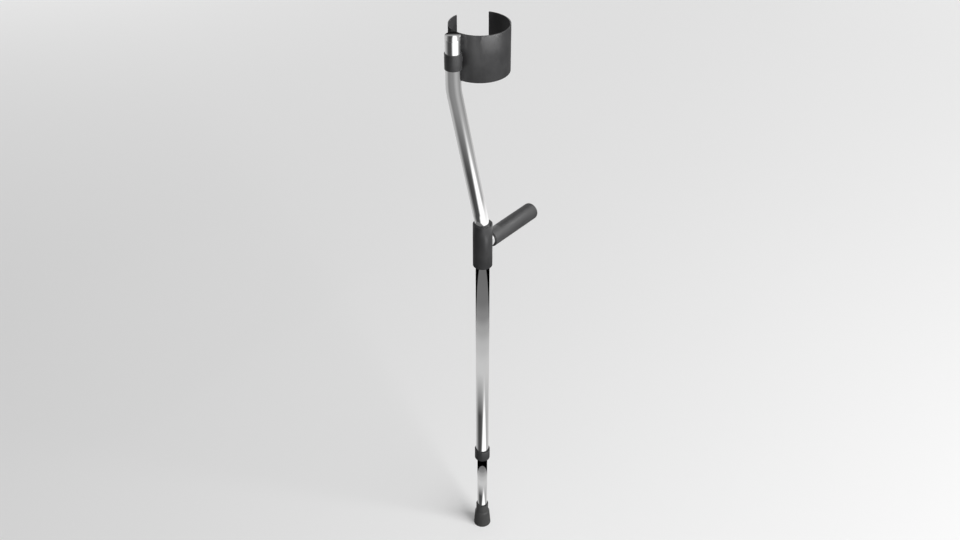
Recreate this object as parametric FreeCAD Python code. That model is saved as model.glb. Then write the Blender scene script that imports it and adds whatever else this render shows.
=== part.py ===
"""Forearm crutch: a bent tubular shaft with a telescoping leg, a hand grip and an open cuff.

Millimetres. The origin is the centre of the ferrule's flat base. +Z runs up the shaft,
+X is forward, the way the hand grip points, and +Y is to the user's left.
The forearm run of the shaft leans back, towards -X, and the cuff stands in front of it.
"""
import FreeCAD, Part
import math
import os

V = FreeCAD.Vector
ORIGIN = V(0, 0, 0)
UP = V(0, 0, 1)
SIDEWAYS = V(0, 1, 0)

# Edge rounding and the clearances between parts that move past each other
FINE_EDGE = 0.4
EDGE = 0.8
RUNNING = 0.08
THRUST = 0.2
FREE = 0.4

# Shaft: one tube, bent back above the hub and bent upright again below the cuff
TUBE_R = 12.7
TUBE_WALL = 1.5
BORE_R = TUBE_R - TUBE_WALL
SHAFT_FOOT_Z = 196.0
LOW_BEND_Z = 745.0
HIGH_BEND_Z = 1038.0
SHAFT_TOP_Z = 1127.5
CUFF_SETBACK = 73.8
LOW_BEND_R = 60.0
HIGH_BEND_R = 80.0

# End cap in the shaft's top
CAP_RIM = 1.0
CAP_DOME = 4.5
CAP_SPIGOT = 12.0
CAP_SPIGOT_WALL = 2.0

# Telescoping leg and the bush on its top end
LEG_R = 10.0
LEG_WALL = 1.4
LEG_BORE_R = LEG_R - LEG_WALL
LEG_FOOT_Z = 12.0
LEG_TOP_Z = 500.0
GLIDE_BORE_R = 6.0
GLIDE_SPIGOT = 15.0
GLIDE_HEAD = 14.0

# Height stops: holes up the shaft's front, a sprung button in the leg
BUTTON_Z = 450.0
HOLE_PITCH = 20.0
HOLES_BELOW = 11
HOLES_ABOVE = 1
SHAFT_HOLE_R = 3.3
LEG_HOLE_R = 3.2
BUTTON_R = 3.0
BUTTON_REACH = 14.2
BUTTON_ROUND = 1.4
BUTTON_FLANGE_R = 4.0
BUTTON_FLANGE_X = 6.0
BUTTON_FLANGE_T = 1.2

# The hairpin spring behind the button
SPRING_T = 0.6
SPRING_W = 5.0
SPRING_FOOT_DROP = 6.0
SPRING_KNEE_RISE = 6.0
SPRING_KNEE_R = 4.0
SPRING_BOW_RISE = 26.0
SPRING_BOW_R = 2.4
SPRING_BACK_GAP = 0.8

# Ferrule
FERRULE_BASE_R = 17.5
FERRULE_BASE_EDGE = 0.6
FERRULE_WAIST_R = 14.9
FERRULE_WAIST_ROUND = 2.0
FERRULE_NECK_R = 12.4
FERRULE_WAIST_Z = 32.5
FERRULE_NECK_Z = 36.0
FERRULE_TOP_Z = 54.6
FERRULE_WASHER_T = 1.5
TREAD_DEPTH = 1.2
TREAD_GROOVES = ((5.0, 6.5), (9.0, 10.5), (13.0, 14.5))

# Lock collar and the collet bush that it turns on
COLLAR_R = 15.1
COLLAR_FOOT_Z = 188.0
COLLAR_TOP_Z = 211.0
FLANGE_R = 13.4
FLANGE_T = 4.0
FINGER_R = 11.6
FINGER_TIP_T = 0.7
FINGER_FOOT_Z = 188.6
SPIGOT_TOP_Z = 222.0
COLLET_SLOTS = 4
COLLET_SLOT_W = 1.2
COLLET_SLOT_TOP_Z = 206.0

# Hub, handle and grip, on an axis that runs forward from the shaft
HANDLE_Z = 708.0
HUB_R = 17.65
HUB_EDGE = 1.2
HUB_FOOT_Z = 662.0
HUB_TOP_Z = 750.0
GRIP_R = 15.7
GRIP_START_X = 21.5
GRIP_END_X = 145.0
GRIP_END_ROUND = 5.0
GRIP_CAVITY_X = 139.5
GRIP_CAVITY_R = 8.5
CORE_END_X = 131.0
CORE_WASHER_T = 3.0
BOLT_R = 4.0
BOLT_HEAD_R = 7.0
BOLT_HEAD_T = 4.4
BOLT_HEAD_ROUND = 3.2
BOLT_SOCKET_R = 2.9
BOLT_SOCKET_DEPTH = 2.5
BOLT_TIP_X = -2.0
NUT_R = 8.0
NUT_BACK_X = 2.0

# Cuff and the riveted saddle that carries it
CUFF_X = -8.6
CUFF_R = 50.2
CUFF_WALL = 1.8
CUFF_BORE_R = CUFF_R - CUFF_WALL
CUFF_RIM_ROUND = 0.7
CUFF_FOOT_Z = 1048.0
CUFF_TOP_Z = 1128.0
CUFF_GAP_START = 21.6
CUFF_GAP_END = 87.1
SADDLE_R = 14.1
SADDLE_FOOT_Z = 1073.5
SADDLE_TOP_Z = 1100.5
SADDLE_PAD_R = 8.0
SADDLE_PAD_X = -59.5
RIVET_Z = 1087.0
RIVET_R = 2.5
RIVET_HEAD_R = 5.5
RIVET_HEAD_T = 2.2
RIVET_HEAD_ROUND = 1.8
RIVET_TAIL_R = 4.0
RIVET_TAIL_X = -67.6
PIVOT_WASHER_R = 7.0
PIVOT_GAP = 0.1
WASHER_STOCK_T = 3.0
INNER_WASHER_T = 1.4


def rounded_outline(corners):
    """A closed XZ wire through (x, z, radius) corners; a radius of zero leaves the corner sharp."""
    count = len(corners)
    turns = []
    for index, (x, z, radius) in enumerate(corners):
        here = V(x, 0, z)
        if radius == 0:
            turns.append((here, None, here))
            continue
        before = V(corners[index - 1][0], 0, corners[index - 1][1])
        after = V(corners[(index + 1) % count][0], 0, corners[(index + 1) % count][1])
        to_before = (before - here).normalize()
        to_after = (after - here).normalize()
        half_angle = to_before.getAngle(to_after) / 2
        run = radius / math.tan(half_angle)
        inward = (to_before + to_after).normalize()
        middle = here + inward * (radius / math.sin(half_angle) - radius)
        turns.append((here + to_before * run, middle, here + to_after * run))
    edges = []
    for index, (start, middle, end) in enumerate(turns):
        if middle is not None:
            edges.append(Part.Arc(start, middle, end).toShape())
        following = turns[(index + 1) % count][0]
        if end.distanceToPoint(following) > 1e-6:
            edges.append(Part.makeLine(end, following))
    return Part.Wire(edges)


def turned(corners, sweep=360.0):
    """A solid turned about Z from (radius, z, corner radius) corners."""
    return Part.Face(rounded_outline(corners)).revolve(ORIGIN, UP, sweep)


def turned_forward(corners, height):
    """The same, turned about an axis that runs along +X at this height."""
    shape = turned(corners)
    shape.rotate(ORIGIN, SIDEWAYS, 90)
    shape.translate(V(0, 0, height))
    return shape


def rod(radius, start, end):
    """A plain cylinder between two points."""
    along = end - start
    return Part.makeCylinder(radius, along.Length, start, along)


def forward_rod(radius, start_x, end_x, height):
    """A plain cylinder along +X at this height."""
    return rod(radius, V(start_x, 0, height), V(end_x, 0, height))


def shaft_path():
    """The shaft's centre line: foot, low bend, leaning run, high bend, top."""
    corners = [
        V(0, 0, SHAFT_FOOT_Z),
        V(0, 0, LOW_BEND_Z),
        V(-CUFF_SETBACK, 0, HIGH_BEND_Z),
        V(-CUFF_SETBACK, 0, SHAFT_TOP_Z),
    ]
    edges = []
    reached = corners[0]
    for index, radius in ((1, LOW_BEND_R), (2, HIGH_BEND_R)):
        corner = corners[index]
        arriving = (corner - corners[index - 1]).normalize()
        leaving = (corners[index + 1] - corner).normalize()
        half_bend = arriving.getAngle(leaving) / 2
        run = radius * math.tan(half_bend)
        inward = (leaving - arriving).normalize()
        middle = corner + inward * (radius / math.cos(half_bend) - radius)
        bend_start = corner - arriving * run
        bend_end = corner + leaving * run
        edges.append(Part.makeLine(reached, bend_start))
        edges.append(Part.Arc(bend_start, middle, bend_end).toShape())
        reached = bend_end
    edges.append(Part.makeLine(reached, corners[-1]))
    return Part.Wire(edges)


def along_shaft(radius):
    """A solid of this radius swept along the shaft's whole centre line."""
    circle = Part.Wire(Part.makeCircle(radius, V(0, 0, SHAFT_FOOT_Z), UP))
    return shaft_path().makePipeShell([circle], True, False)


def stop_heights():
    """Heights of the height-stop holes in the shaft, lowest first."""
    lowest = BUTTON_Z - HOLES_BELOW * HOLE_PITCH
    return [lowest + HOLE_PITCH * index for index in range(HOLES_BELOW + HOLES_ABOVE + 1)]


def shaft_tube():
    """The bent tube, drilled in front for the height stops, the handle bolt and the cuff's rivet."""
    tube = along_shaft(TUBE_R).cut(along_shaft(BORE_R))
    drills = [forward_rod(SHAFT_HOLE_R, 0, 2 * TUBE_R, height) for height in stop_heights()]
    drills.append(forward_rod(BOLT_R, 0, 2 * TUBE_R, HANDLE_Z))
    drills.append(forward_rod(RIVET_R, -CUFF_SETBACK, -CUFF_SETBACK + 2 * TUBE_R, RIVET_Z))
    return tube.cut(drills)


def tube_end_cap():
    """A domed plug flush with the tube, with a hollow spigot down its bore."""
    spigot = turned([
        (BORE_R - CAP_SPIGOT_WALL, SHAFT_TOP_Z - CAP_SPIGOT, 0),
        (BORE_R, SHAFT_TOP_Z - CAP_SPIGOT, FINE_EDGE),
        (BORE_R, SHAFT_TOP_Z + CAP_RIM / 2, 0),
        (BORE_R - CAP_SPIGOT_WALL, SHAFT_TOP_Z + CAP_RIM / 2, 0),
    ])
    # the crown is part of an ellipsoid, so it leaves the tube's side with no edge
    crown = Part.makeSphere(TUBE_R)
    squash = FreeCAD.Matrix()
    squash.scale(1, 1, CAP_DOME / TUBE_R)
    crown = crown.transformGeometry(squash)
    crown.translate(V(0, 0, SHAFT_TOP_Z + CAP_RIM))
    above_rim = rod(TUBE_R, V(0, 0, SHAFT_TOP_Z + CAP_RIM), V(0, 0, SHAFT_TOP_Z + CAP_RIM + TUBE_R))
    disc = rod(TUBE_R, V(0, 0, SHAFT_TOP_Z), V(0, 0, SHAFT_TOP_Z + CAP_RIM))
    cap = crown.common(above_rim).fuse([disc, spigot]).removeSplitter()
    cap.translate(V(-CUFF_SETBACK, 0, 0))
    return cap


def handle_hub():
    """A moulded sleeve round the shaft, with a round window that the handle core passes through."""
    sleeve = turned([
        (0, HUB_FOOT_Z, 0),
        (HUB_R, HUB_FOOT_Z, HUB_EDGE),
        (HUB_R, HUB_TOP_Z, HUB_EDGE),
        (0, HUB_TOP_Z, 0),
    ])
    window = forward_rod(TUBE_R, 0, 2 * HUB_R, HANDLE_Z)
    return sleeve.cut([along_shaft(TUBE_R), window])


def handle_core():
    """A stub of the shaft's own tube stock, fish-mouthed to sit on the shaft."""
    outside = forward_rod(TUBE_R, 0, CORE_END_X, HANDLE_Z)
    inside = forward_rod(BORE_R, 0, CORE_END_X, HANDLE_Z)
    shaft = rod(TUBE_R, V(0, 0, HUB_FOOT_Z), V(0, 0, HUB_TOP_Z))
    return outside.cut([inside, shaft])


def core_washer():
    """A plate across the core's outer end, for the bolt's head to pull on."""
    washer = forward_rod(TUBE_R, CORE_END_X, CORE_END_X + CORE_WASHER_T, HANDLE_Z)
    return washer.cut(forward_rod(BOLT_R, CORE_END_X, CORE_END_X + CORE_WASHER_T, HANDLE_Z))


def handle_bolt():
    """A button-head screw from the core's outer end into the saddle nut."""
    seat_x = CORE_END_X + CORE_WASHER_T
    top_x = seat_x + BOLT_HEAD_T
    bolt = turned_forward([
        (0, BOLT_TIP_X, 0),
        (BOLT_R, BOLT_TIP_X, EDGE),
        (BOLT_R, seat_x, 0),
        (BOLT_HEAD_R, seat_x, 0),
        (BOLT_HEAD_R, top_x, BOLT_HEAD_ROUND),
        (0, top_x, 0),
    ], HANDLE_Z)
    corners = []
    for index in range(7):
        turn = math.radians(60 * index)
        across, up = BOLT_SOCKET_R * math.cos(turn), BOLT_SOCKET_R * math.sin(turn)
        corners.append(V(top_x, across, HANDLE_Z + up))
    socket = Part.Face(Part.makePolygon(corners))
    return bolt.cut(socket.extrude(V(-BOLT_SOCKET_DEPTH, 0, 0)))


def saddle_nut():
    """A nut that fills the front of the shaft's bore behind the handle bolt's hole."""
    block = forward_rod(NUT_R, NUT_BACK_X, BORE_R, HANDLE_Z)
    bore = rod(BORE_R, V(0, 0, HANDLE_Z - NUT_R), V(0, 0, HANDLE_Z + NUT_R))
    thread = forward_rod(BOLT_R, 0, TUBE_R, HANDLE_Z)
    return block.common(bore).cut(thread)


def grip_sleeve():
    """A moulded sleeve with a closed, rounded end, pushed over the core and its screw."""
    washer_x = CORE_END_X + CORE_WASHER_T
    return turned_forward([
        (TUBE_R, GRIP_START_X, FINE_EDGE),
        (GRIP_R, GRIP_START_X, EDGE),
        (GRIP_R, GRIP_END_X, GRIP_END_ROUND),
        (0, GRIP_END_X, 0),
        (0, GRIP_CAVITY_X, 0),
        (GRIP_CAVITY_R, GRIP_CAVITY_X, EDGE),
        (GRIP_CAVITY_R, washer_x, 0),
        (TUBE_R, washer_x, 0),
    ], HANDLE_Z)


def collet_bush():
    """A bush pushed into the shaft's foot, flanged below it and slotted into fingers."""
    slide_r = LEG_R + RUNNING
    flange_foot_z = SHAFT_FOOT_Z - FLANGE_T
    bush = turned([
        (slide_r, FINGER_FOOT_Z, 0),
        (slide_r + FINGER_TIP_T, FINGER_FOOT_Z, 0),
        (FINGER_R, flange_foot_z, 0),
        (FLANGE_R, flange_foot_z, FINE_EDGE),
        (FLANGE_R, SHAFT_FOOT_Z, FINE_EDGE),
        (BORE_R, SHAFT_FOOT_Z, 0),
        (BORE_R, SPIGOT_TOP_Z, FINE_EDGE),
        (slide_r, SPIGOT_TOP_Z, 0),
    ])
    slots = []
    for index in range(COLLET_SLOTS):
        slot = Part.makeBox(2 * FLANGE_R, COLLET_SLOT_W, COLLET_SLOT_TOP_Z - FINGER_FOOT_Z)
        slot.translate(V(0, -COLLET_SLOT_W / 2, FINGER_FOOT_Z))
        slot.rotate(ORIGIN, UP, 45 + index * 360 / COLLET_SLOTS)
        slots.append(slot)
    return bush.cut(slots)


def lock_collar():
    """A plain ring that snaps over the bush's flange and turns on the shaft."""
    flange_foot_z = SHAFT_FOOT_Z - FLANGE_T
    mouth_r = FINGER_R + FREE
    groove_r = FLANGE_R + RUNNING
    return turned([
        (mouth_r, COLLAR_FOOT_Z, FINE_EDGE),
        (COLLAR_R, COLLAR_FOOT_Z, EDGE),
        (COLLAR_R, COLLAR_TOP_Z, EDGE),
        (TUBE_R + RUNNING, COLLAR_TOP_Z, FINE_EDGE),
        (TUBE_R + RUNNING, SHAFT_FOOT_Z + THRUST, 0),
        (groove_r, SHAFT_FOOT_Z + THRUST, 0),
        (groove_r, flange_foot_z - THRUST, 0),
        (mouth_r, flange_foot_z - THRUST, 0),
    ])


def lower_tube():
    """The straight leg, with one hole in front for the snap button."""
    tube = turned([
        (LEG_BORE_R, LEG_FOOT_Z, 0),
        (LEG_R, LEG_FOOT_Z, FINE_EDGE),
        (LEG_R, LEG_TOP_Z, 0),
        (LEG_BORE_R, LEG_TOP_Z, 0),
    ])
    return tube.cut(forward_rod(LEG_HOLE_R, 0, 2 * LEG_R, BUTTON_Z))


def glide_bush():
    """A bush on the leg's top end that keeps it central in the shaft's bore."""
    head_r = BORE_R - RUNNING
    return turned([
        (GLIDE_BORE_R, LEG_TOP_Z - GLIDE_SPIGOT, 0),
        (LEG_BORE_R, LEG_TOP_Z - GLIDE_SPIGOT, FINE_EDGE),
        (LEG_BORE_R, LEG_TOP_Z, 0),
        (head_r, LEG_TOP_Z, FINE_EDGE),
        (head_r, LEG_TOP_Z + GLIDE_HEAD, EDGE),
        (GLIDE_BORE_R, LEG_TOP_Z + GLIDE_HEAD, 0),
    ])


def snap_button():
    """A flanged pin with a domed tip, standing out through the leg and the shaft."""
    return turned_forward([
        (0, BUTTON_FLANGE_X, 0),
        (BUTTON_FLANGE_R, BUTTON_FLANGE_X, FINE_EDGE),
        (BUTTON_FLANGE_R, BUTTON_FLANGE_X + BUTTON_FLANGE_T, 0),
        (BUTTON_R, BUTTON_FLANGE_X + BUTTON_FLANGE_T, 0),
        (BUTTON_R, BUTTON_REACH, BUTTON_ROUND),
        (0, BUTTON_REACH, 0),
    ], BUTTON_Z)


def snap_spring():
    """A hairpin leaf: one leg behind the button, the other on the leg tube's back wall."""
    front_x = BUTTON_FLANGE_X - SPRING_T
    back_x = -LEG_BORE_R + SPRING_BACK_GAP
    foot_z = BUTTON_Z - SPRING_FOOT_DROP
    knee_z = BUTTON_Z + SPRING_KNEE_RISE
    bow_z = BUTTON_Z + SPRING_BOW_RISE
    bow_inner = SPRING_BOW_R - SPRING_T
    outline = rounded_outline([
        (front_x, foot_z, 0),
        (front_x + SPRING_T, foot_z, 0),
        (front_x + SPRING_T, knee_z, SPRING_KNEE_R),
        (SPRING_BOW_R, bow_z, 0.8 * SPRING_BOW_R),
        (-SPRING_BOW_R, bow_z, 0.8 * SPRING_BOW_R),
        (back_x, foot_z, 0),
        (back_x + SPRING_T, foot_z, 0),
        (-bow_inner, bow_z - SPRING_T, SPRING_BOW_R / 2),
        (bow_inner, bow_z - SPRING_T, SPRING_BOW_R / 2),
        (front_x, knee_z, SPRING_KNEE_R - SPRING_T),
    ])
    spring = Part.Face(outline).extrude(V(0, SPRING_W, 0))
    spring.translate(V(0, -SPRING_W / 2, 0))
    return spring


def ferrule():
    """A rubber tip: ringed flat base, flared body, stepped neck and a blind bore."""
    bore_foot_z = LEG_FOOT_Z - FERRULE_WASHER_T
    tip = turned([
        (0, 0, 0),
        (FERRULE_BASE_R, 0, FERRULE_BASE_EDGE),
        (FERRULE_WAIST_R, FERRULE_WAIST_Z, FERRULE_WAIST_ROUND),
        (FERRULE_NECK_R, FERRULE_NECK_Z, EDGE),
        (FERRULE_NECK_R, FERRULE_TOP_Z, EDGE),
        (LEG_R, FERRULE_TOP_Z, 0),
        (LEG_R, bore_foot_z, 0),
        (0, bore_foot_z, 0),
    ])
    grooves = [
        turned([(inner, 0, 0), (outer, 0, 0), (outer, TREAD_DEPTH, 0), (inner, TREAD_DEPTH, 0)])
        for inner, outer in TREAD_GROOVES
    ]
    return tip.cut(grooves)


def ferrule_washer():
    """A steel disc in the ferrule's bore, for the leg's end to stand on."""
    return rod(LEG_R, V(0, 0, LEG_FOOT_Z - FERRULE_WASHER_T), V(0, 0, LEG_FOOT_Z))


def cuff_axis_rod(radius):
    """A rod of this radius through the cuff's full height, for trimming washers to its curve."""
    return rod(radius, V(CUFF_X, 0, CUFF_FOOT_Z), V(CUFF_X, 0, CUFF_TOP_Z))


def cuff_shell():
    """A round shell with plain rounded rims, open towards the front left."""
    shell = turned([
        (CUFF_BORE_R, CUFF_FOOT_Z, CUFF_RIM_ROUND),
        (CUFF_R, CUFF_FOOT_Z, CUFF_RIM_ROUND),
        (CUFF_R, CUFF_TOP_Z, CUFF_RIM_ROUND),
        (CUFF_BORE_R, CUFF_TOP_Z, CUFF_RIM_ROUND),
    ], 360 - (CUFF_GAP_END - CUFF_GAP_START))
    shell.rotate(ORIGIN, UP, CUFF_GAP_END)
    shell.translate(V(CUFF_X, 0, 0))
    return shell.cut(forward_rod(RIVET_R + RUNNING, -CUFF_SETBACK, CUFF_X, RIVET_Z))


def cuff_saddle():
    """A ring round the shaft with a flat pad in front for the cuff to turn on."""
    ring = turned([
        (0, SADDLE_FOOT_Z, 0),
        (SADDLE_R, SADDLE_FOOT_Z, EDGE),
        (SADDLE_R, SADDLE_TOP_Z, EDGE),
        (0, SADDLE_TOP_Z, 0),
    ])
    ring.translate(V(-CUFF_SETBACK, 0, 0))
    pad = forward_rod(SADDLE_PAD_R, -CUFF_SETBACK, SADDLE_PAD_X, RIVET_Z)
    shaft = rod(TUBE_R, V(-CUFF_SETBACK, 0, SADDLE_FOOT_Z), V(-CUFF_SETBACK, 0, SADDLE_TOP_Z))
    hole = forward_rod(RIVET_R, -CUFF_SETBACK, SADDLE_PAD_X, RIVET_Z)
    return ring.fuse(pad).cut([shaft, hole]).removeSplitter()


def pivot_washer():
    """Flat towards the saddle's pad, hollowed to the cuff's outside on its other face."""
    back_x = SADDLE_PAD_X + PIVOT_GAP
    front_x = back_x + WASHER_STOCK_T
    disc = forward_rod(PIVOT_WASHER_R, back_x, front_x, RIVET_Z)
    hole = forward_rod(RIVET_R + RUNNING, back_x, front_x, RIVET_Z)
    return disc.cut([cuff_axis_rod(CUFF_R), hole])


def inner_washer():
    """Crowned to the cuff's inside, flat towards the rivet's head."""
    front_x = CUFF_X - CUFF_BORE_R + INNER_WASHER_T
    back_x = front_x - WASHER_STOCK_T
    disc = forward_rod(PIVOT_WASHER_R, back_x, front_x, RIVET_Z)
    hole = forward_rod(RIVET_R + RUNNING, back_x, front_x, RIVET_Z)
    return disc.common(cuff_axis_rod(CUFF_BORE_R)).cut(hole)


def cuff_rivet():
    """A blind rivet: domed head inside the cuff, set tail inside the shaft's bore."""
    head_x = CUFF_X - CUFF_BORE_R + INNER_WASHER_T + PIVOT_GAP
    wall_x = -CUFF_SETBACK + BORE_R
    body = turned_forward([
        (0, RIVET_TAIL_X, 0),
        (RIVET_R, RIVET_TAIL_X, 0),
        (RIVET_R, head_x, 0),
        (RIVET_HEAD_R, head_x, 0),
        (RIVET_HEAD_R, head_x + RIVET_HEAD_T, RIVET_HEAD_ROUND),
        (0, head_x + RIVET_HEAD_T, 0),
    ], RIVET_Z)
    tail = forward_rod(RIVET_TAIL_R, RIVET_TAIL_X, wall_x, RIVET_Z)
    bore = rod(BORE_R, V(-CUFF_SETBACK, 0, SADDLE_FOOT_Z), V(-CUFF_SETBACK, 0, SADDLE_TOP_Z))
    return body.fuse(tail.common(bore)).removeSplitter()


PARTS = (
    shaft_tube,
    tube_end_cap,
    handle_hub,
    handle_core,
    core_washer,
    handle_bolt,
    saddle_nut,
    grip_sleeve,
    collet_bush,
    lock_collar,
    lower_tube,
    glide_bush,
    snap_button,
    snap_spring,
    ferrule,
    ferrule_washer,
    cuff_shell,
    cuff_saddle,
    pivot_washer,
    inner_washer,
    cuff_rivet,
)

os.makedirs("parts", exist_ok=True)
for make in PARTS:
    solid = make()
    assert solid.isValid() and len(solid.Solids) == 1, make.__name__
    solid.Solids[0].exportStep(f"parts/{make.__name__}.step")
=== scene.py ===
"""Looks of the forearm crutch: meshes, materials, reflectors, floor, lights and camera.

Metres, in the CAD frame: +Z up the shaft, +X forward along the grip, +Y to the user's left.
"""

import math

import bmesh
import bpy
import numpy as np
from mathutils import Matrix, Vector


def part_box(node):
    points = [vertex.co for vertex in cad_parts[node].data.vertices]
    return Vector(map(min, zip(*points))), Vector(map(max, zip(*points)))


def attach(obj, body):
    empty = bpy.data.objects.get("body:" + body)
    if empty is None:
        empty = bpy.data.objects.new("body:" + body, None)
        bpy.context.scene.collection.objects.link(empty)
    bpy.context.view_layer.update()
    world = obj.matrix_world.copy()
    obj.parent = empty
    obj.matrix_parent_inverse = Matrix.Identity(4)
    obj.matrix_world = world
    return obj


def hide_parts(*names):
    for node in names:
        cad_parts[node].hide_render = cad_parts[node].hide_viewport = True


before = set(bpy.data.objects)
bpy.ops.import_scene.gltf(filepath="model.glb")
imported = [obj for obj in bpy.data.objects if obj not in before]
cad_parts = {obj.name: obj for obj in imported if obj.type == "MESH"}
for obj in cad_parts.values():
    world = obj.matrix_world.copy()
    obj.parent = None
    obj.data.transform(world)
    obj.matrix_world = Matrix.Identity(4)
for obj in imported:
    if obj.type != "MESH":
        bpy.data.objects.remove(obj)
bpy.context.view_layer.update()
scene = bpy.context.scene
scene.view_settings.view_transform = "Standard"

MM = 0.001
UP = Vector((0, 0, 1))
FORWARD = Vector((1, 0, 0))
LEFT = Vector((0, 1, 0))


# ---------------------------------------------------------------- sizes from the frame
def low(node_name, axis):
    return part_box(node_name)[0]["xyz".index(axis)]


def high(node_name, axis):
    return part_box(node_name)[1]["xyz".index(axis)]


def middle(node_name, axis):
    return (low(node_name, axis) + high(node_name, axis)) / 2


TUBE_R = high("shaft_tube", "y")
TUBE_WALL = 1.5 * MM
SETBACK = -(low("shaft_tube", "x") + TUBE_R)      # how far the shaft's top stands behind its foot
SHAFT_FOOT = low("shaft_tube", "z")
SHAFT_TOP = high("shaft_tube", "z")
LOW_BEND = 745 * MM                               # where the straight runs would meet
HIGH_BEND = 1038 * MM
LOW_BEND_R = 60 * MM
HIGH_BEND_R = 80 * MM
LEG_R = high("lower_tube", "y")
LEG_WALL = 1.4 * MM
LEG_FOOT = low("lower_tube", "z")
LEG_TOP = high("lower_tube", "z")
CAP_RIM = 1 * MM                                  # the end cap's straight edge below its dome
HANDLE_Z = middle("grip_sleeve", "z")
BUTTON_Z = middle("snap_button", "z")
HOLE_PITCH = 20 * MM
HOLES_BELOW = 11
HOLES_ABOVE = 1
SHAFT_HOLE_R = 3.3 * MM
LEG_HOLE_R = 3.2 * MM
CUFF_X = middle("cuff_shell", "x")
CUFF_R = high("cuff_shell", "x") - CUFF_X
CUFF_WALL = 1.8 * MM
CUFF_RIM = 0.7 * MM                               # rounding of the cuff's long edges
CUFF_GAP = (21.6, 87.1)                           # the opening, in degrees from forward to the left
HUB_RELIEF = 6 * MM                               # depth of the funnel in each sleeve's mouth
COLLAR_RELIEF = 3 * MM
FERRULE_RELIEF = 3 * MM


# ---------------------------------------------------------------- mesh helpers
SEGMENTS = 128
ARC_STEPS = 6
SHARP_EDGE = 35                                   # degrees


def add_object(name, vertices, faces, material):
    mesh = bpy.data.meshes.new(name)
    mesh.from_pydata([tuple(v) for v in vertices], [], faces)
    work = bmesh.new()
    work.from_mesh(mesh)
    bmesh.ops.remove_doubles(work, verts=work.verts, dist=1e-7)
    bmesh.ops.recalc_face_normals(work, faces=work.faces)
    work.to_mesh(mesh)
    work.free()
    mesh.materials.append(material)
    obj = bpy.data.objects.new(name, mesh)
    scene.collection.objects.link(obj)
    return obj


def piece(obj, body, node_name):
    """Finishes a piece: shading, the body it rides on, and hiding the CAD node it stands for."""
    mesh = obj.data
    mesh.polygons.foreach_set("use_smooth", [True] * len(mesh.polygons))
    mesh.set_sharp_from_angle(angle=math.radians(SHARP_EDGE))
    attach(obj, body)
    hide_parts(node_name)


def ease_edges(obj, name, width, segments, sharper_than):
    """Rounds the edges that turn by more than this many degrees."""
    ease = obj.modifiers.new(name, "BEVEL")
    ease.width = width
    ease.segments = segments
    ease.limit_method = "ANGLE"
    ease.angle_limit = math.radians(sharper_than)


def rounded(corners, closed, steps):
    """Points through (radius, height, corner radius) corners, with the corners rounded."""
    count = len(corners)
    points = []
    for index, (r, h, radius) in enumerate(corners):
        here = np.array([r, h], float)
        at_end = not closed and index in (0, count - 1)
        if radius == 0 or at_end:
            points.append(here)
            continue
        before = np.array(corners[index - 1][:2], float) - here
        after = np.array(corners[(index + 1) % count][:2], float) - here
        before /= np.linalg.norm(before)
        after /= np.linalg.norm(after)
        half = math.acos(np.clip(before @ after, -1, 1)) / 2
        inward = (before + after) / np.linalg.norm(before + after)
        centre = here + inward * radius / math.sin(half)
        start = here + before * radius / math.tan(half) - centre
        end = here + after * radius / math.tan(half) - centre
        turn = math.atan2(start[0] * end[1] - start[1] * end[0], start @ end)
        for step in range(steps + 1):
            c, s = math.cos(turn * step / steps), math.sin(turn * step / steps)
            points.append(centre + np.array([c * start[0] - s * start[1], s * start[0] + c * start[1]]))
    return points


def about_shaft_foot(r, angle, h):
    """A point at height h, turned about the vertical through the origin."""
    return (r * math.cos(angle), r * math.sin(angle), h)


def about_shaft_top(r, angle, h):
    """A point at height h, turned about the shaft's upper straight run."""
    return (r * math.cos(angle) - SETBACK, r * math.sin(angle), h)


def about_handle(r, angle, h):
    """A point at h along the handle, turned about the handle's axis."""
    return (h, r * math.cos(angle), HANDLE_Z + r * math.sin(angle))


def about_bore(r, angle, h):
    """A point of the hub: its bore follows the shaft into the bend, the rest stays upright."""
    x, y, z = about_shaft_foot(r, angle, h)
    if r <= TUBE_R + 1e-6:
        x += shaft_line(h - SHAFT_FOOT)[0].x
    return (x, y, z)


def lathe(name, corners, material, place=about_shaft_foot, closed=True, steps=ARC_STEPS):
    """A turned mesh; an open outline starts and ends on the axis."""
    rings = []
    vertices = []
    for r, h in rounded(corners, closed, steps):
        if r < 1e-7:
            rings.append([len(vertices)] * SEGMENTS)
            vertices.append(place(0, 0, h))
            continue
        rings.append(range(len(vertices), len(vertices) + SEGMENTS))
        vertices += [place(r, 2 * math.pi * k / SEGMENTS, h) for k in range(SEGMENTS)]
    faces = []
    last = len(rings) if closed else len(rings) - 1
    for index in range(last):
        lower, upper = rings[index], rings[(index + 1) % len(rings)]
        for k in range(SEGMENTS):
            n = (k + 1) % SEGMENTS
            face = list(dict.fromkeys((lower[k], lower[n], upper[n], upper[k])))
            if len(face) > 2:
                faces.append(face)
    return add_object(name, vertices, faces, material)


# ---------------------------------------------------------------- the shaft's centre line
def shaft_lean():
    """The slanted run's lean in radians, and its length between the bends' corners."""
    rise = HIGH_BEND - LOW_BEND
    return math.atan2(SETBACK, rise), math.hypot(SETBACK, rise)


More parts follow.
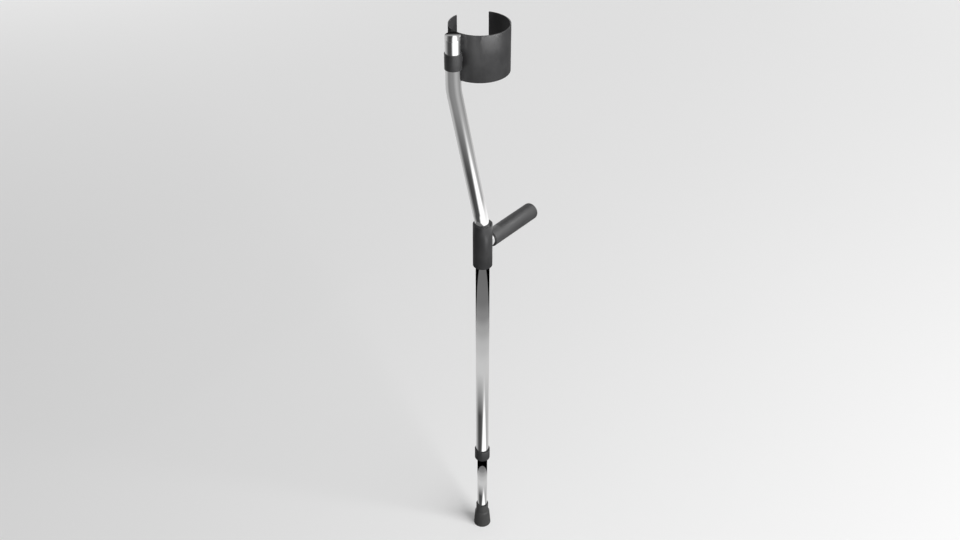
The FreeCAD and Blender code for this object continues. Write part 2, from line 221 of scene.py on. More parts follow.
def shaft_line(distance):
    """Point and tangent of the shaft's centre line, at a distance up it from its foot."""
    lean, slant = shaft_lean()
    low_run = LOW_BEND_R * math.tan(lean / 2)
    high_run = HIGH_BEND_R * math.tan(lean / 2)
    stages = (
        ("line", LOW_BEND - low_run - SHAFT_FOOT, 0),
        ("arc", LOW_BEND_R * lean, LOW_BEND_R),
        ("line", slant - low_run - high_run, 0),
        ("arc", HIGH_BEND_R * lean, -HIGH_BEND_R),
        ("line", SHAFT_TOP - HIGH_BEND - high_run, 0),
    )
    x, z, turned_back = 0.0, SHAFT_FOOT, 0.0
    for kind, length, radius in stages:
        step = min(distance, length)
        if kind == "line":
            x -= step * math.sin(turned_back)
            z += step * math.cos(turned_back)
        else:
            after = turned_back + step / radius
            x -= radius * (math.cos(turned_back) - math.cos(after))
            z += radius * (math.sin(after) - math.sin(turned_back))
            turned_back = after
        distance -= step
        if distance <= 0:
            break
    return Vector((x, 0, z)), Vector((-math.sin(turned_back), 0, math.cos(turned_back)))


def shaft_length():
    lean, slant = shaft_lean()
    cut_off = (LOW_BEND_R + HIGH_BEND_R) * (2 * math.tan(lean / 2) - lean)
    return LOW_BEND - SHAFT_FOOT + slant + SHAFT_TOP - HIGH_BEND - cut_off


def on_shaft(distance, angle):
    """A point of the shaft's outer surface; angle nought is the front."""
    centre, tangent = shaft_line(distance)
    front = LEFT.cross(tangent)
    return centre + (front * math.cos(angle) + LEFT * math.sin(angle)) * TUBE_R


def on_leg(distance, angle):
    return about_shaft_foot(LEG_R, angle, LEG_FOOT + distance)


# ---------------------------------------------------------------- a tube wall with drilled holes
TUBE_COLUMNS = 96
TUBE_ROW = 8 * MM
PATCH_HALF = 4                                    # grid columns from a hole's middle to its patch's edge
PATCH_RINGS = 3


def plain_rows(start, stop):
    """Evenly spaced heights from start on, without stop."""
    count = max(1, round((stop - start) / TUBE_ROW))
    return [start + (stop - start) * k / count for k in range(count)]


def tube_rows(length, holes, cell):
    """The grid's row heights, and each hole's height by the first row of its square patch."""
    heights = []
    patches = {}
    reached = 0.0
    for hole in holes:
        foot = hole - cell * PATCH_HALF
        heights += plain_rows(reached, foot)
        patches[len(heights)] = hole
        heights += [foot + cell * k for k in range(2 * PATCH_HALF)]
        reached = hole + cell * PATCH_HALF
    heights += [*plain_rows(reached, length), length]
    return heights, patches


def grid_index(row, column):
    return row * TUBE_COLUMNS + column % TUBE_COLUMNS


def tube_faces(row_count, patches):
    """The grid's faces, without those in a hole's patch."""
    faces = []
    for i in range(row_count - 1):
        in_patch = any(start <= i < start + 2 * PATCH_HALF for start in patches)
        for k in range(PATCH_HALF if in_patch else -PATCH_HALF, TUBE_COLUMNS - PATCH_HALF):
            faces.append((grid_index(i, k), grid_index(i, k + 1), grid_index(i + 1, k + 1),
                          grid_index(i + 1, k)))
    return faces


def patch_border(start):
    """The (row, column) places round a hole's patch, in order."""
    span = 2 * PATCH_HALF
    border = [(start, k - PATCH_HALF) for k in range(span)]
    border += [(start + k, PATCH_HALF) for k in range(span)]
    border += [(start + span, PATCH_HALF - k) for k in range(span)]
    border += [(start + span - k, -PATCH_HALF) for k in range(span)]
    return border


def drilled_tube(name, point, radius, length, holes, hole_r, wall):
    """A tube of one wall thickness whose front wall has round holes.

    point(distance, angle) places a point of the outer surface. Round each hole a square patch
    of the grid is left out and filled with rings that run from the square to the circle.
    """
    cell = radius * 2 * math.pi / TUBE_COLUMNS
    heights, patches = tube_rows(length, holes, cell)
    vertices = []
    for h in heights:
        vertices += [point(h, 2 * math.pi * k / TUBE_COLUMNS) for k in range(TUBE_COLUMNS)]
    faces = tube_faces(len(heights), patches)
    for start, hole in patches.items():
        border = patch_border(start)
        previous = [grid_index(i, k) for i, k in border]
        for ring in range(1, PATCH_RINGS + 1):
            share = ring / PATCH_RINGS
            current = []
            for i, k in border:
                square = np.array([cell * k, heights[i] - hole])
                circle = square / np.linalg.norm(square) * hole_r
                across, up = square * (1 - share) + circle * share
                current.append(len(vertices))
                vertices.append(point(hole + up, across / radius))
            for k in range(len(border)):
                n = (k + 1) % len(border)
                faces.append((previous[k], previous[n], current[n], current[k]))
            previous = current
    tube = add_object(name, vertices, faces, ALUMINIUM)
    solid = tube.modifiers.new("wall", "SOLIDIFY")
    solid.thickness = wall
    solid.offset = -1
    ease_edges(tube, "eased_edges", width=0.25 * MM, segments=2, sharper_than=50)
    return tube


# ---------------------------------------------------------------- node helpers
# The Mix node has a set of sockets for each kind of value.
SHARE = 0
NUMBER_A, NUMBER_B, NUMBER_OUT = 2, 3, 0
COLOUR_A, COLOUR_B, COLOUR_OUT = 6, 7, 2


def new_material(name):
    material = bpy.data.materials.new(name)
    material.use_nodes = True
    tree = material.node_tree
    return material, tree, tree.nodes["Principled BSDF"]


def node(tree, kind, **settings):
    """A new node, with its inputs and its other settings given by name."""
    made = tree.nodes.new(kind)
    for key, value in settings.items():
        if key in made.inputs.keys():
            made.inputs[key].default_value = value
        else:
            setattr(made, key, value)
    return made


def feed(tree, value, socket):
    """Sets a socket to a number, or links an output to it."""
    if isinstance(value, (int, float)):
        socket.default_value = value
    else:
        tree.links.new(value, socket)


def noise(tree, size, stretch=(1, 1, 1), detail=2.0, roughness=0.5):
    """Noise whose features are about this size; a stretch under 1 draws them out along that axis."""
    where = node(tree, "ShaderNodeTexCoord")
    stretched = node(tree, "ShaderNodeMapping", Scale=stretch)
    texture = node(tree, "ShaderNodeTexNoise", Scale=1 / size, Detail=detail, Roughness=roughness)
    tree.links.new(where.outputs["Object"], stretched.inputs["Vector"])
    tree.links.new(stretched.outputs["Vector"], texture.inputs["Vector"])
    return texture.outputs["Fac"]


def ranged(tree, value, start, end, first, last):
    """first up to start, last from end on, and even between them."""
    made = node(tree, "ShaderNodeMapRange")
    made.inputs["From Min"].default_value = start
    made.inputs["From Max"].default_value = end
    made.inputs["To Min"].default_value = first
    made.inputs["To Max"].default_value = last
    tree.links.new(value, made.inputs["Value"])
    return made.outputs["Result"]


def rising(tree, value, start, end):
    """Nought up to start, one from end on."""
    return ranged(tree, value, start, end, 0.0, 1.0)


def falling(tree, value, start, end):
    """One up to start, nought from end on."""
    return ranged(tree, value, start, end, 1.0, 0.0)


def from_noise(tree, value, first, last):
    """Noise stays near its middle, so its inner part is spread over the whole range."""
    return ranged(tree, value, 0.3, 0.7, first, last)


def two_tone(tree, share, dark, light):
    mix = node(tree, "ShaderNodeMix", data_type="RGBA")
    mix.inputs[COLOUR_A].default_value = (*dark, 1)
    mix.inputs[COLOUR_B].default_value = (*light, 1)
    tree.links.new(share, mix.inputs[SHARE])
    return mix.outputs[COLOUR_OUT]


def mixed(tree, share, a, b):
    mix = node(tree, "ShaderNodeMix", data_type="FLOAT")
    feed(tree, share, mix.inputs[SHARE])
    feed(tree, a, mix.inputs[NUMBER_A])
    feed(tree, b, mix.inputs[NUMBER_B])
    return mix.outputs[NUMBER_OUT]


def combine(tree, operation, *values):
    """One step of arithmetic on numbers or outputs."""
    made = node(tree, "ShaderNodeMath", operation=operation)
    for value, socket in zip(values, made.inputs):
        feed(tree, value, socket)
    return made.outputs[0]


def distance_from(tree, value, centre):
    return combine(tree, "ABSOLUTE", combine(tree, "SUBTRACT", value, centre))


def ramp(tree, value, stops):
    """Grey levels along a value from nought to one."""
    made = node(tree, "ShaderNodeValToRGB")
    made.color_ramp.interpolation = "EASE"
    elements = made.color_ramp.elements
    for index, (place, level) in enumerate(stops):
        stop = elements[index] if index < len(elements) else elements.new(place)
        stop.position = place
        stop.color = (level, level, level, 1)
    tree.links.new(value, made.inputs[0])
    return made.outputs[0]


def bump(tree, shader, height, strength, depth):
    made = node(tree, "ShaderNodeBump", Strength=strength, Distance=depth)
    tree.links.new(height, made.inputs["Height"])
    tree.links.new(made.outputs["Normal"], shader.inputs["Normal"])


def edge_mask(tree, radius):
    """One at edges sharper than this radius, nought on flat and gently curved faces."""
    bevel = node(tree, "ShaderNodeBevel", Radius=radius, samples=4)
    geometry = node(tree, "ShaderNodeNewGeometry")
    compare = node(tree, "ShaderNodeVectorMath", operation="DOT_PRODUCT")
    tree.links.new(bevel.outputs["Normal"], compare.inputs[0])
    tree.links.new(geometry.outputs["Normal"], compare.inputs[1])
    return falling(tree, compare.outputs["Value"], 0.80, 0.98)


# ---------------------------------------------------------------- materials
def polished_metal(name, tint, smooth, rough, line_depth):
    """Drawn and polished metal: faint lines along Z, smudges, a slightly uneven tint."""
    material, tree, shader = new_material(name)
    shader.inputs["Metallic"].default_value = 1.0
    smudges = noise(tree, 18 * MM, stretch=(1, 1, 0.35), detail=4.0, roughness=0.6)
    lines = noise(tree, 0.35 * MM, stretch=(1, 1, 0.012))
    dull = tuple(c * 0.965 for c in tint)
    tree.links.new(two_tone(tree, smudges, dull, tint), shader.inputs["Base Color"])
    tree.links.new(from_noise(tree, smudges, smooth, rough), shader.inputs["Roughness"])
    bump(tree, shader, lines, strength=0.35, depth=line_depth)
    return material


def moulded(name, dark, light, worn_tint, smooth, rough, grain, grain_depth, specular=0.5):
    """Moulded plastic or rubber: fine grain, mottled tone, edges rubbed paler."""
    material, tree, shader = new_material(name)
    shader.inputs["Specular IOR Level"].default_value = specular
    mottle = noise(tree, 22 * MM, detail=5.0, roughness=0.62)
    fine = noise(tree, grain, roughness=0.6)
    coarse = noise(tree, grain * 4)
    wear = combine(tree, "MULTIPLY", edge_mask(tree, 0.9 * MM), from_noise(tree, coarse, 0.15, 0.75))
    worn = node(tree, "ShaderNodeMix", data_type="RGBA")
    tree.links.new(wear, worn.inputs[SHARE])
    tree.links.new(two_tone(tree, from_noise(tree, mottle, 0.0, 1.0), dark, light), worn.inputs[COLOUR_A])
    worn.inputs[COLOUR_B].default_value = (*worn_tint, 1)
    tree.links.new(worn.outputs[COLOUR_OUT], shader.inputs["Base Color"])
    tree.links.new(from_noise(tree, mottle, smooth, rough), shader.inputs["Roughness"])
    height = combine(tree, "ADD", fine, combine(tree, "MULTIPLY", coarse, 0.6))
    bump(tree, shader, height, strength=0.5, depth=grain_depth)
    return material


ALUMINIUM = polished_metal("polished_aluminium", tint=(0.95, 0.95, 0.95), smooth=0.025, rough=0.06,
                           line_depth=0.0012 * MM)
STEEL = polished_metal("zinc_plated_steel", tint=(0.66, 0.67, 0.69), smooth=0.22, rough=0.34,
                       line_depth=0.004 * MM)
PLASTIC = moulded("moulded_plastic", dark=(0.026, 0.026, 0.027), light=(0.036, 0.036, 0.037),
                  worn_tint=(0.085, 0.085, 0.086), smooth=0.34, rough=0.44,
                  grain=0.35 * MM, grain_depth=0.012 * MM)
GRIP = moulded("grip_rubber", dark=(0.034, 0.034, 0.035), light=(0.046, 0.046, 0.047),
               worn_tint=(0.075, 0.075, 0.076), smooth=0.46, rough=0.58,
               grain=0.5 * MM, grain_depth=0.03 * MM)
RUBBER = moulded("tip_rubber", dark=(0.046, 0.046, 0.046), light=(0.062, 0.062, 0.061),
                 worn_tint=(0.06, 0.059, 0.057), smooth=0.46, rough=0.60,
                 grain=0.45 * MM, grain_depth=0.025 * MM, specular=0.2)
NYLON = moulded("nylon", dark=(0.018, 0.018, 0.018), light=(0.026, 0.026, 0.026),
                worn_tint=(0.05, 0.05, 0.05), smooth=0.30, rough=0.40,
                grain=0.3 * MM, grain_depth=0.006 * MM)


# ---------------------------------------------------------------- tubes
def make_shaft():
    lowest = BUTTON_Z - HOLES_BELOW * HOLE_PITCH - SHAFT_FOOT
    holes = [lowest + HOLE_PITCH * k for k in range(HOLES_BELOW + HOLES_ABOVE + 1)]
    tube = drilled_tube("shaft", on_shaft, TUBE_R, shaft_length(), holes, SHAFT_HOLE_R, TUBE_WALL)
    piece(tube, "shaft", "shaft_tube")


def make_leg():
    holes = [BUTTON_Z - LEG_FOOT]
    tube = drilled_tube("leg", on_leg, LEG_R, LEG_TOP - LEG_FOOT, holes, LEG_HOLE_R, LEG_WALL)
    piece(tube, "leg", "lower_tube")


def make_handle_core():
    """Runs from its saddle on the shaft to its washer under the grip."""
    end = high("handle_core", "x")
    rows = 24
    vertices = []
    for radius in (TUBE_R, TUBE_R - TUBE_WALL):
        for i in range(rows + 1):
            for k in range(TUBE_COLUMNS):
                angle = 2 * math.pi * k / TUBE_COLUMNS
                across = radius * math.cos(angle)
                start = math.sqrt(max(TUBE_R ** 2 - across ** 2, 0))
                vertices.append(about_handle(radius, angle, start + (end - start) * i / rows))
    bore = (rows + 1) * TUBE_COLUMNS
    faces = []
    for base in (0, bore):
        for i in range(rows):
            a, b = base + i * TUBE_COLUMNS, base + (i + 1) * TUBE_COLUMNS
            for k in range(TUBE_COLUMNS):
                n = (k + 1) % TUBE_COLUMNS
                faces.append((a + k, a + n, b + n, b + k))
    for a in (0, rows * TUBE_COLUMNS):
        for k in range(TUBE_COLUMNS):
            n = (k + 1) % TUBE_COLUMNS
            faces.append((a + k, a + n, bore + a + n, bore + a + k))
    core = add_object("handle_tube", vertices, faces, ALUMINIUM)
    piece(core, "shaft", "handle_core")


def make_end_cap():
    """The domed plug in the shaft's top."""
    foot = low("tube_end_cap", "z")
    dome = high("tube_end_cap", "z") - SHAFT_TOP - CAP_RIM
    plug = TUBE_R - TUBE_WALL
    hollow = plug - 2 * MM
    outline = [(0, SHAFT_TOP, 0), (hollow, SHAFT_TOP, 0), (hollow, foot, 0), (plug, foot, 0),
               (plug, SHAFT_TOP, 0), (TUBE_R, SHAFT_TOP, 0)]
    steps = 18
    for step in range(steps + 1):
        angle = math.pi / 2 * step / steps
        outline.append((TUBE_R * math.cos(angle), SHAFT_TOP + CAP_RIM + dome * math.sin(angle), 0))
    cap = lathe("end_cap", outline, ALUMINIUM, about_shaft_top, closed=False)
    piece(cap, "shaft", "tube_end_cap")


# ---------------------------------------------------------------- hub, grip, collar and ferrule
def make_hub():
    """A sleeve whose bore follows the shaft into its first bend."""
    foot, top = low("handle_hub", "z"), high("handle_hub", "z")
    outer = high("handle_hub", "y")
    lip = 0.7 * MM
    rows = 40
    bore_top = top - HUB_RELIEF
    hub = lathe("hub_sleeve", [
        (outer, foot, 1.2 * MM),
        (outer, top, 0.3 * MM),
        (outer - lip, top, 0.3 * MM),
        *[(TUBE_R, bore_top - (bore_top - foot) * k / rows, 0) for k in range(rows + 1)],
    ], PLASTIC, about_bore)
    piece(hub, "shaft", "handle_hub")


def make_grip():
    """A sleeve on the handle core, closed at its outer end, with a recess for the bolt's head."""
    start, end = low("grip_sleeve", "x"), high("grip_sleeve", "x")
    outer = (high("grip_sleeve", "z") - low("grip_sleeve", "z")) / 2
    washer = high("core_washer", "x")
    recess_r, recess_end = 8.5 * MM, end - 5.5 * MM
    grip = lathe("hand_grip", [
        (0, recess_end, 0),
        (recess_r, recess_end, 1 * MM),
        (recess_r, washer, 0),
        (TUBE_R, washer, 0),
        (TUBE_R, start, 0.4 * MM),
        (outer, start, 0.8 * MM),
        (outer, end, 5.0 * MM),
        (0, end, 0),
    ], GRIP, about_handle, closed=False, steps=10)
    piece(grip, "shaft", "grip_sleeve")


def make_collar():
    """A ring with a groove inside for the flange of the bush in the shaft's foot."""
    foot, top = low("lock_collar", "z"), high("lock_collar", "z")
    outer = -low("lock_collar", "x")
    lip = 0.7 * MM
    mouth, throat, groove = 12.0 * MM, TUBE_R + 0.08 * MM, 13.48 * MM
    groove_foot, groove_top = SHAFT_FOOT - 4.2 * MM, SHAFT_FOOT + 0.2 * MM
    collar = lathe("lock_ring", [
        (mouth, foot, 0.4 * MM),
        (outer, foot, 0.8 * MM),
        (outer, top, 0.3 * MM),
        (outer - lip, top, 0.3 * MM),
        (throat, top - COLLAR_RELIEF, 0),
        (throat, groove_top, 0),
        (groove, groove_top, 0),
        (groove, groove_foot, 0),
        (mouth, groove_foot, 0),
    ], PLASTIC)
    piece(collar, "lock_collar", "lock_collar")


def make_ferrule():
    """Flared rubber tip with concentric tread grooves under its base."""
    top = high("ferrule", "z")
    base = high("ferrule", "y") + 0.1 * MM
    waist, neck = 14.9 * MM, 12.4 * MM
    waist_z, neck_z = 32.5 * MM, 36 * MM
    lip = 0.6 * MM
    bore_foot = low("ferrule_washer", "z")
    tread_depth, tread_edge = 1.2 * MM, 0.2 * MM
    outline = [(0, 0, 0)]
    for inner, outer in ((5.0 * MM, 6.5 * MM), (9.0 * MM, 10.5 * MM), (13.0 * MM, 14.5 * MM)):
        outline += [(inner, 0, tread_edge), (inner, tread_depth, tread_edge),
                    (outer, tread_depth, tread_edge), (outer, 0, tread_edge)]
    outline += [
        (base, 0, 0.6 * MM),
        (waist, waist_z, 2.0 * MM),
        (neck, neck_z, 0.8 * MM),
        (neck, top, 0.3 * MM),
        (neck - lip, top, 0.25 * MM),
        (LEG_R, top - FERRULE_RELIEF, 0),
        (LEG_R, bore_foot, 0),
        (0, bore_foot, 0),
    ]
    tip = lathe("ferrule_tip", outline, RUBBER, closed=False)
    piece(tip, "leg", "ferrule")


# ---------------------------------------------------------------- cuff
def cuff_section():
    """The shell's upright section, with rows up both faces and rounded rims."""
    foot, top = low("cuff_shell", "z"), high("cuff_shell", "z")
    inner = CUFF_R - CUFF_WALL
    rows = 24
    steps = [(top - foot) * k / rows for k in range(1, rows)]
    corners = [(inner, foot, CUFF_RIM), (CUFF_R, foot, CUFF_RIM)]
    corners += [(CUFF_R, foot + step, 0) for step in steps]
    corners += [(CUFF_R, top, CUFF_RIM), (inner, top, CUFF_RIM)]
    corners += [(inner, top - step, 0) for step in steps]
    return rounded(corners, closed=True, steps=4)


def make_cuff():
    """A round shell, open towards the front left."""
    section = cuff_section()
    count = len(section)
    gap_start, gap_end = CUFF_GAP
    sweep = 360 - (gap_end - gap_start)
    columns = 150
    vertices = []
    for i in range(columns + 1):
        angle = math.radians(gap_end + sweep * i / columns)
        vertices += [(CUFF_X + r * math.cos(angle), r * math.sin(angle), h) for r, h in section]
    faces = []
    for i in range(columns):
        a, b = i * count, (i + 1) * count
        for k in range(count):
            n = (k + 1) % count
            faces.append((a + k, a + n, b + n, b + k))
    faces.append(tuple(range(count)))
    faces.append(tuple(range(columns * count, (columns + 1) * count)))
    cuff = add_object("forearm_cuff", vertices, faces, PLASTIC)
    ease_edges(cuff, "eased_ends", width=0.5 * MM, segments=3, sharper_than=60)
    piece(cuff, "cuff", "cuff_shell")


def dress_cad_nodes():
    """CAD nodes whose shape is right keep it, and take a detailed material."""
    finishes = {
        STEEL: ("core_washer", "handle_bolt", "saddle_nut", "ferrule_washer", "snap_spring",
                "snap_button", "cuff_rivet"),
        NYLON: ("collet_bush", "glide_bush", "pivot_washer", "inner_washer"),
        PLASTIC: ("cuff_saddle",),
    }
    for material, names in finishes.items():
        for name in names:
            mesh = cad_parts[name].data
            for index in range(len(mesh.materials)):
                mesh.materials[index] = material


# ---------------------------------------------------------------- camera
CAMERA_HEADING = 39.1                             # degrees anticlockwise from +X
CAMERA_PITCH = 34.84                              # degrees down
CAMERA_DISTANCE = 1.7344                          # level, to the origin
CAMERA_HEIGHT = 1.8576
CAMERA_SIDESTEP = -0.0047                         # to the right
CAMERA_LENS = 43.78                               # millimetres
SENSOR_WIDTH = 36                                 # millimetres


def heading(degrees_from_view):
    """A level unit vector, turned anticlockwise from the way the camera looks."""
    angle = math.radians(CAMERA_HEADING + degrees_from_view)
    return Vector((math.cos(angle), math.sin(angle), 0))


def make_camera():
    data = bpy.data.cameras.new("camera")
    data.lens = CAMERA_LENS
    data.sensor_width = SENSOR_WIDTH
    camera = bpy.data.objects.new("camera", data)
    ahead = heading(0)
    right = heading(-90)
    camera.location = -ahead * CAMERA_DISTANCE + right * CAMERA_SIDESTEP + UP * CAMERA_HEIGHT
    pitch = math.radians(CAMERA_PITCH)
    look = ahead * math.cos(pitch) - UP * math.sin(pitch)
    camera.rotation_euler = look.to_track_quat("-Z", "Y").to_euler()
    scene.collection.objects.link(camera)
    scene.camera = camera


# ---------------------------------------------------------------- lights
LIGHTS_AIM = UP * 0.3                             # a point low on the crutch


def area_light(name, place, look, size, power, shadow):
    data = bpy.data.lights.new(name, "AREA")
    data.shape = "RECTANGLE"
    data.size, data.size_y = size
    data.energy = power
    data.use_shadow = shadow
    light = bpy.data.objects.new(name, data)
    light.location = place
    light.rotation_euler = look.to_track_quat("-Z", "Y").to_euler()
    scene.collection.objects.link(light)
    return light


def soft_light(name, from_view, distance, height, size, power, shadow):
    """A softbox that faces the crutch, placed by its heading from the camera's view."""
    place = heading(from_view) * distance + UP * height
    area_light(name, place, LIGHTS_AIM - place, size, power, shadow)


def glint(name, spot, from_view, rise, distance, size, power):
    """A small softbox that only shows as a sheen, in the direction a spot mirrors to the camera."""
    slope = math.radians(rise)
    towards = heading(from_view) * math.cos(slope) + UP * math.sin(slope)
    light = area_light(name, spot + towards * distance, -towards, size, power, shadow=False)
    light.visible_camera = False
    light.visible_diffuse = False


def make_lights():
    soft_light("key", -128, 4.2, 2.7, size=(4.0, 2.6), power=290, shadow=True)
    soft_light("right_back", -40, 6.0, 3.0, size=(2.5, 2.5), power=105, shadow=False)
    soft_light("left_back", 30, 6.0, 3.0, size=(2.5, 2.5), power=140, shadow=False)


def make_glints():
    cuff_top, hub_top = high("cuff_shell", "z"), high("handle_hub", "z")
    cuff_spot = FORWARD * CUFF_X + heading(-163) * CUFF_R + UP * (cuff_top - 3 * MM)
    hub_spot = heading(-158) * high("handle_hub", "y") + UP * (hub_top - 6 * MM)
    grip_spot = FORWARD * 66 * MM - LEFT * 10 * MM + UP * (HANDLE_Z + 12 * MM)
    glint("cuff_glint", cuff_spot, -146, -18, distance=0.09, size=(0.20, 0.02), power=0.13)
    glint("hub_glint", hub_spot, -136, -28, distance=0.10, size=(0.06, 0.03), power=0.035)
    glint("grip_glint", grip_spot, -74, 38, distance=0.12, size=(0.04, 0.04), power=0.05)


# ---------------------------------------------------------------- painted reflections: patterns on the reflectors
# A pattern gives a level of light by two shares: around is 0.5 on the camera's side of the tube
# and grows anticlockwise, and drop runs from nought at the top of the sleeve to one at its foot.
# These levels are painted reflections: the flags, greys, wedge and flare that the polished tubes mirror
# are painted on the reflectors.
PAINTED_FLAGS = ((-180, 0.56), (-108, 0.50), (-78, 0.20), (-56, 0.062), (-22, 0.07), (-2, 0.14), (14, 0.40),
         (62, 0.45), (84, 0.37), (112, 0.62), (180, 0.60))
PAINTED_SOFT_GREYS = ((-180, 0.55), (-95, 0.48), (-60, 0.22), (-10, 0.26), (35, 0.45), (80, 0.30),
              (112, 0.45), (180, 0.55))
PAINTED_TOP_GREYS = ((0.0, 0.152), (0.16, 0.17), (0.24, 0.24), (0.31, 0.37), (0.40, 0.50), (0.5, 0.58),
             (1.0, 0.58))
PAINTED_CROWN_GREYS = ((0.0, 0.006), (0.28, 0.014), (0.42, 0.2), (0.54, 0.42), (1.0, 0.5))
PAINTED_WEDGE_LEVEL = 1.25
PAINTED_WEDGE_HEADING = 29                                # degrees anticlockwise from the camera's side
PAINTED_WEDGE_HALF_WIDTH = 36                             # degrees, at the foot of the sleeve
PAINTED_FLARE_LEVEL = 1.1
PAINTED_HANDLE_LEVEL = 0.75


def turned(degrees):
    """A heading round a reflector, anticlockwise from the camera's side, as nought to one."""
    return degrees / 360 + 0.5


def ramp_around(tree, around, stops):
    """Grey levels by the heading in degrees round a reflector."""
    return ramp(tree, around, [(turned(degrees), level) for degrees, level in stops])


def painted_foot_bands(tree, around, drop, start):
    """A painted reflection: a dark flag to the left of the camera, and a bright wedge to its right that
    widens down.
    """
    flags = ramp_around(tree, around, PAINTED_FLAGS)
    off_middle = distance_from(tree, around, turned(PAINTED_WEDGE_HEADING))
    half_width = ranged(tree, drop, start, 1.0, 0.0, PAINTED_WEDGE_HALF_WIDTH / 360)
    wedge = rising(tree, combine(tree, "SUBTRACT", half_width, off_middle), -0.03, 0.03)
    return mixed(tree, wedge, flags, PAINTED_WEDGE_LEVEL)


def straight_run(first, speed):
    """A painted reflection: grey at the top with a dark flag behind it, pale in the middle, banded at the
    foot.

    The grey starts at this share of the drop and spreads round as fast as speed says.
    """
    def pattern(tree, around, drop):
        pale = ramp(tree, drop, PAINTED_TOP_GREYS)
        behind = combine(tree, "MULTIPLY", distance_from(tree, around, 0.5), 2.0)
        risen = combine(tree, "MULTIPLY", combine(tree, "SUBTRACT", drop, first), speed)
        arch = combine(tree, "POWER", combine(tree, "MAXIMUM", risen, 0.0), 0.5)
        flag = rising(tree, combine(tree, "SUBTRACT", arch, behind), 0.0, 0.05)
        top = combine(tree, "MULTIPLY", pale, flag)
        return mixed(tree, rising(tree, drop, 0.54, 0.78), top, painted_foot_bands(tree, around, drop, 0.60))
    return pattern


def bent_run(tree, around, drop):
    """A painted reflection: bands above the saddle, soft greys round the bend, and the bands again down
    to the hub.
    """
    soft = ramp_around(tree, around, PAINTED_SOFT_GREYS)
    above = falling(tree, drop, 0.10, 0.13)
    below = rising(tree, drop, 0.34, 0.68)
    bands = painted_foot_bands(tree, around, combine(tree, "ADD", drop, above), 0.30)
    lit = mixed(tree, combine(tree, "MAXIMUM", above, below), soft, bands)
    # A painted highlight: a bright flare on the right, near the sleeve's foot.
    right = rising(tree, around, turned(15), turned(35))
    flare = combine(tree, "MULTIPLY", right, rising(tree, drop, 0.84, 0.97))
    return mixed(tree, flare, lit, PAINTED_FLARE_LEVEL)


def painted_cap_reflection(tree, around, drop):
    """A painted reflection on the dome: black behind the crown, a pale rim, then the bands of the tube
    below.
    """
    crown = ramp(tree, drop, PAINTED_CROWN_GREYS)
    return mixed(tree, rising(tree, drop, 0.52, 0.64), crown, painted_foot_bands(tree, around, drop, -0.5))


def even_light(tree, around, drop):
    """An even painted reflection: the same level all over."""
    return PAINTED_HANDLE_LEVEL


# ---------------------------------------------------------------- reflectors round the polished tubes, carrying painted reflections
REACH = 45 * MM                                   # radius of the sleeves


def painted_reflection_material(name, pattern):
    """Light given out by a reflector's inner face only, in a painted reflection pattern; its outer face
    is clear.
    """
    material = bpy.data.materials.new(name)
    material.use_nodes = True
    tree = material.node_tree
    tree.nodes.clear()
    out = node(tree, "ShaderNodeOutputMaterial")
    glow = node(tree, "ShaderNodeEmission")
    clear = node(tree, "ShaderNodeBsdfTransparent")
    choose = node(tree, "ShaderNodeMixShader")
    side = node(tree, "ShaderNodeNewGeometry")
    tree.links.new(side.outputs["Backfacing"], choose.inputs[0])
    tree.links.new(glow.outputs[0], choose.inputs[1])
    tree.links.new(clear.outputs[0], choose.inputs[2])
    tree.links.new(choose.outputs[0], out.inputs["Surface"])
    where = node(tree, "ShaderNodeTexCoord")
    split = node(tree, "ShaderNodeSeparateXYZ")
    tree.links.new(where.outputs["UV"], split.inputs[0])
    level = pattern(tree, split.outputs["X"], split.outputs["Y"])
    feed(tree, level, glow.inputs["Strength"])
    return material


def link_card(name, vertices, columns, rows, uvs, pattern):
    """Links one reflector, a grid whose faces look inwards; only reflections show it."""
    faces = []
    for i in range(rows):
        for k in range(columns):
            a = i * (columns + 1) + k
            faces.append((a, a + 1, a + columns + 2, a + columns + 1))
    mesh = bpy.data.meshes.new(name)
    mesh.from_pydata([tuple(v) for v in vertices], [], faces)
    layout = mesh.uv_layers.new(name="around_and_down")
    for loop in mesh.loops:
        layout.data[loop.index].uv = uvs[loop.vertex_index]
    mesh.materials.append(painted_reflection_material(name, pattern))
    card = bpy.data.objects.new(name, mesh)
    scene.collection.objects.link(card)
    card.visible_camera = False
    card.visible_diffuse = False
    card.visible_transmission = False
    card.visible_volume_scatter = False
    card.visible_shadow = False


def reflector(name, centre_line, foot, top, pattern):
    """A sleeve of light round one run of tube, which the tube mirrors as a painted reflection.

    centre_line(distance) gives a point and a tangent. The sleeve is slid along it by the drop
    of the camera's rays on their way out to it.
    """
    camera_at = scene.camera.location
    slid = []
    for distance in (top, foot):
        centre, axis = centre_line(distance)
        along = (centre - camera_at).normalized().dot(axis)
        slid.append(distance + (REACH - TUBE_R) * along / math.sqrt(1 - along ** 2))
    slid_top, slid_foot = slid
    rows, columns = 48, 96
    vertices = []
    uvs = []
    for i in range(rows + 1):
        centre, axis = centre_line(slid_top + (slid_foot - slid_top) * i / rows)
        # The pattern's middle faces the camera, so the painted reflection is laid out for this camera's
        # view.
        towards = camera_at - centre
        front = (towards - axis * towards.dot(axis)).normalized()
        side = axis.cross(front)
        for k in range(columns + 1):
            angle = 2 * math.pi * (k / columns - 0.5)
            vertices.append(centre + (front * math.cos(angle) + side * math.sin(angle)) * REACH)
            uvs.append((k / columns, i / rows))
    link_card(name, vertices, columns, rows, uvs, pattern)


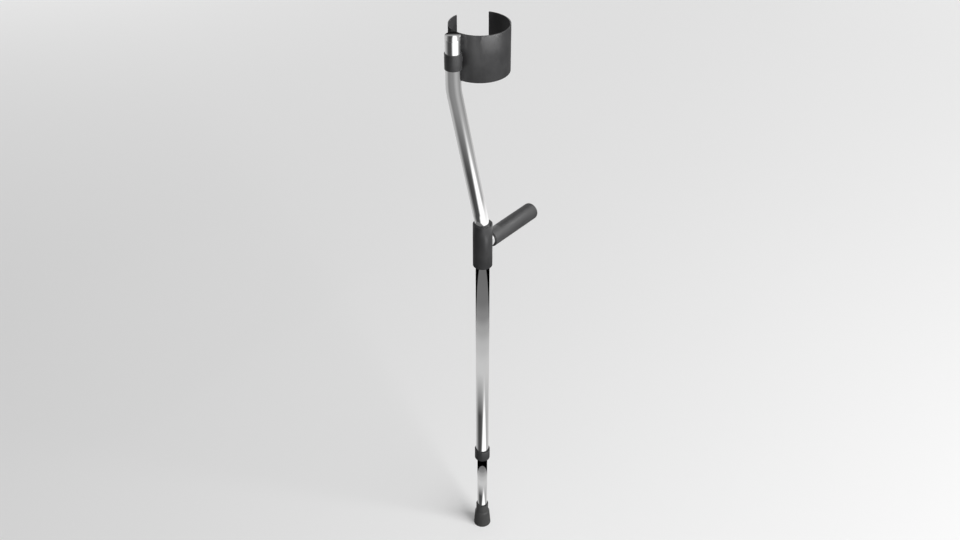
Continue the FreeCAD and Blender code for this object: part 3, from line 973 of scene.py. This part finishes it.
def cap_reflector():
    """A bowl of light over the end cap, its pattern a painted reflection laid out by where each part of
    it shows on the dome.
    """
    camera_at = scene.camera.location
    centre = Vector((-SETBACK, 0, SHAFT_TOP + CAP_RIM))
    dome = high("tube_end_cap", "z") - centre.z
    view = (centre - camera_at).normalized()
    ahead = Vector((view.x, view.y, 0)).normalized()
    right = ahead.cross(UP)
    reach = (REACH - TUBE_R) / view.dot(ahead)
    image_up = right.cross(view)
    top_edge = math.hypot(TUBE_R * view.z, dome * image_up.z)
    rows, columns = 32, 64
    vertices = []
    uvs = []
    for i in range(rows + 1):
        outward = math.sin(math.pi / 2 * i / rows)
        rise = math.sqrt(max(1 - outward ** 2, 0))
        for k in range(columns + 1):
            angle = 2 * math.pi * k / columns
            across, along = outward * math.sin(angle), -outward * math.cos(angle)
            level = right * across + ahead * along
            spot = level * TUBE_R + UP * dome * rise
            normal = (level / TUBE_R + UP * rise / dome).normalized()
            ray = view - normal * 2 * min(view.dot(normal), 0)
            vertices.append(centre + spot + ray * reach)
            drop = (top_edge - spot.dot(image_up)) / (top_edge - TUBE_R * view.z)
            uvs.append((math.asin(max(-1, min(1, across))) / math.pi + 0.5, drop))
    link_card("cap_card", vertices, columns, rows, uvs, painted_cap_reflection)


def leg_line(height):
    return UP * height, UP


def handle_line(distance):
    return UP * HANDLE_Z + FORWARD * distance, FORWARD


def make_reflectors():
    """One reflector for each run of bare tube, from inside the relieved mouth below it if it has one."""
    ferrule_mouth = high("ferrule", "z") - FERRULE_RELIEF
    leg_top = low("lock_collar", "z") - 3 * MM
    collar_mouth = high("lock_collar", "z") - COLLAR_RELIEF - SHAFT_FOOT
    hub_foot = low("handle_hub", "z") - SHAFT_FOOT
    hub_mouth = high("handle_hub", "z") - HUB_RELIEF - SHAFT_FOOT
    reflector("leg_card", leg_line, ferrule_mouth, leg_top, straight_run(0.125, 2.4))
    reflector("shaft_card", shaft_line, collar_mouth, hub_foot, straight_run(-0.05, 1.7))
    reflector("upper_card", shaft_line, hub_mouth, shaft_length(), bent_run)
    cap_reflector()
    reflector("handle_card", handle_line, TUBE_R, low("grip_sleeve", "x"), even_light)


# ---------------------------------------------------------------- floor and world
FLOOR_HALF = 60.0
WORLD_LEVEL = 0.175


def make_floor():
    """A matt floor that gloss doesn't show."""
    corners = [(x * FLOOR_HALF, y * FLOOR_HALF, 0) for x, y in ((-1, -1), (1, -1), (1, 1), (-1, 1))]
    material, tree, shader = new_material("floor")
    patches = noise(tree, 1.5)
    tone = two_tone(tree, patches, (0.80, 0.80, 0.80), (0.82, 0.82, 0.82))
    tree.links.new(tone, shader.inputs["Base Color"])
    shader.inputs["Roughness"].default_value = 0.9
    shader.inputs["Specular IOR Level"].default_value = 0.1
    floor = add_object("floor", corners, [(0, 1, 2, 3)], material)
    floor.visible_glossy = False


def make_world():
    world = bpy.data.worlds.new("studio")
    world.use_nodes = True
    background = world.node_tree.nodes["Background"]
    background.inputs["Color"].default_value = (1, 1, 1, 1)
    background.inputs["Strength"].default_value = WORLD_LEVEL
    scene.world = world


make_shaft()
make_leg()
make_handle_core()
make_end_cap()
make_hub()
make_grip()
make_collar()
make_ferrule()
make_cuff()
dress_cad_nodes()
make_floor()
make_world()
make_camera()
make_lights()
make_glints()
make_reflectors()
